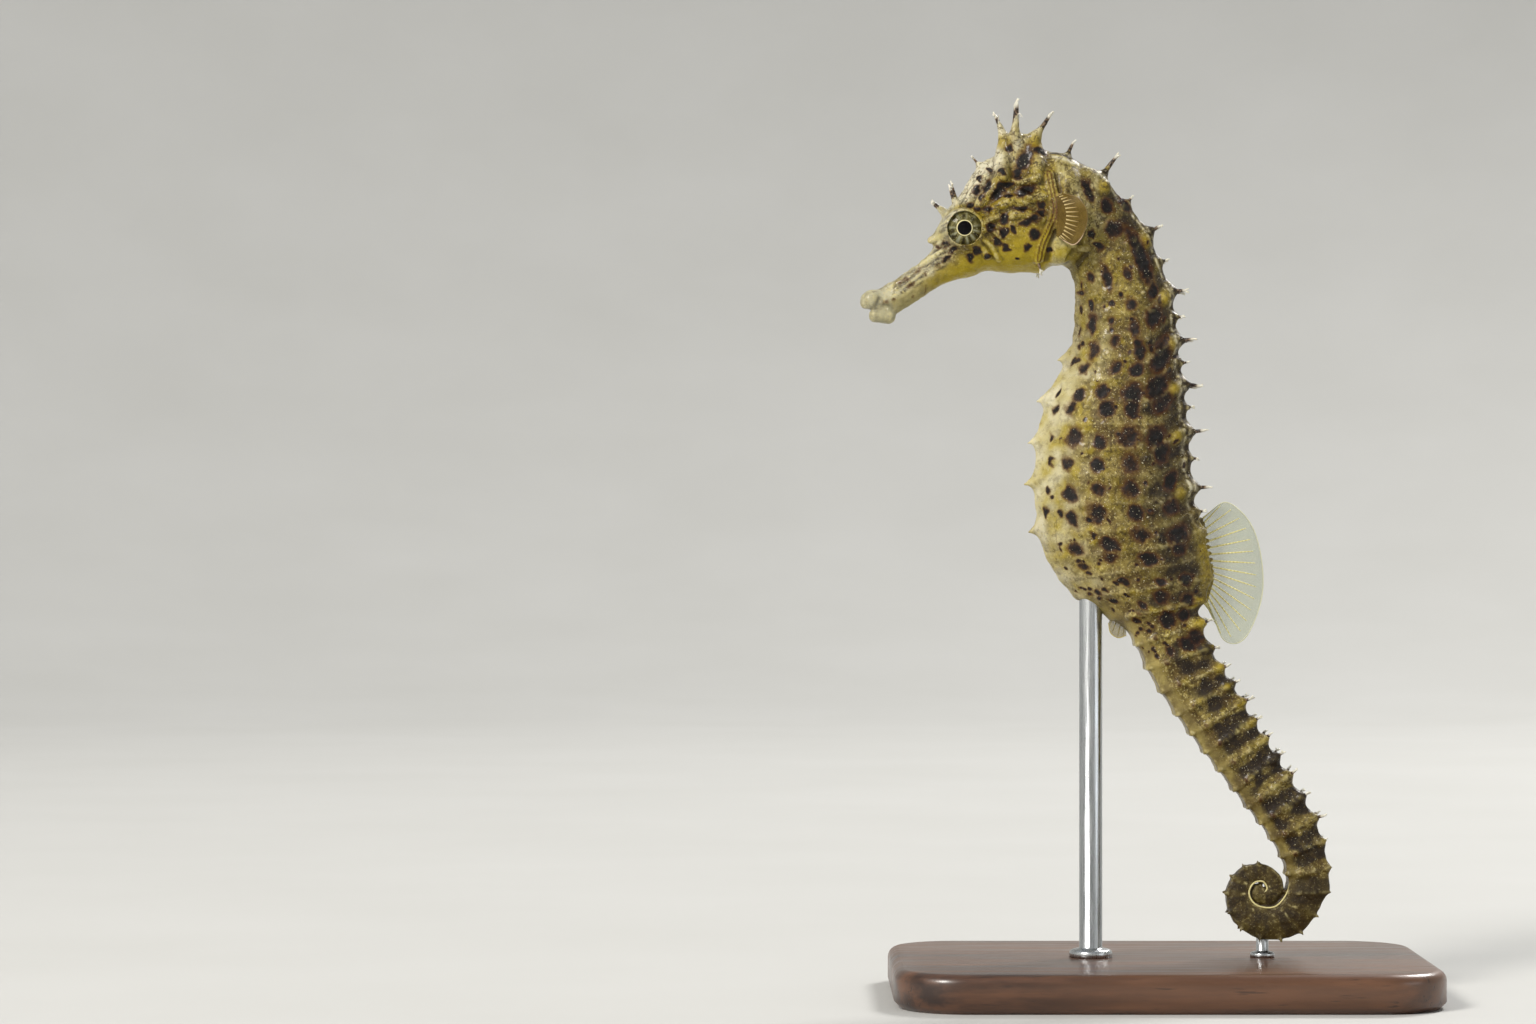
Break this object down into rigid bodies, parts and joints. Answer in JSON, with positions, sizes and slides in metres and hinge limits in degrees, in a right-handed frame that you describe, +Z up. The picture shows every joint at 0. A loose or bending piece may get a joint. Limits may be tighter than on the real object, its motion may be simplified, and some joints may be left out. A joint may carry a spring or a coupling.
{
  "type": "seahorse display model",
  "caption": "Life-size still model of a slender spiny seahorse with a coiled tail and fine fins, held upright on a small flat stand.",
  "frame": {"origin": "centre of the underside of the stand's base", "axes": "+Z up, the seahorse faces -X, and Y=0 is its plane of symmetry with its left side towards -Y"},
  "size_m": [0.074, 0.048, 0.116],
  "materials": {
    "skin": "cast resin painted as wet ridged skin: cream and ochre with brown-black spots",
    "eye": "glossy, olive-grey iris with dark spokes and a thin gold ring round the pupil",
    "fin": "thin clear web with pale yellowish rays",
    "stand_wood": "dark stained, satin lacquer",
    "stand_steel": "brushed"
  },
  "bodies": {
    "root": {"snout": "skin", "head": "skin", "coronet": "skin", "eye_left": "eye", "eye_right": "eye", "neck": "skin", "chest": "skin", "belly": "skin", "tail_1": "skin", "tail_2": "skin", "tail_3": "skin", "tail_4": "skin", "tail_5": "skin", "tail_6": "skin", "tail_7": "skin", "dorsal_fin": "fin", "pectoral_fin_left": "fin", "pectoral_fin_right": "fin", "anal_fin": "fin", "stand_base": "stand_wood", "stand_rod": "stand_steel", "stand_pin": "stand_steel"}
  },
  "joints": []
}
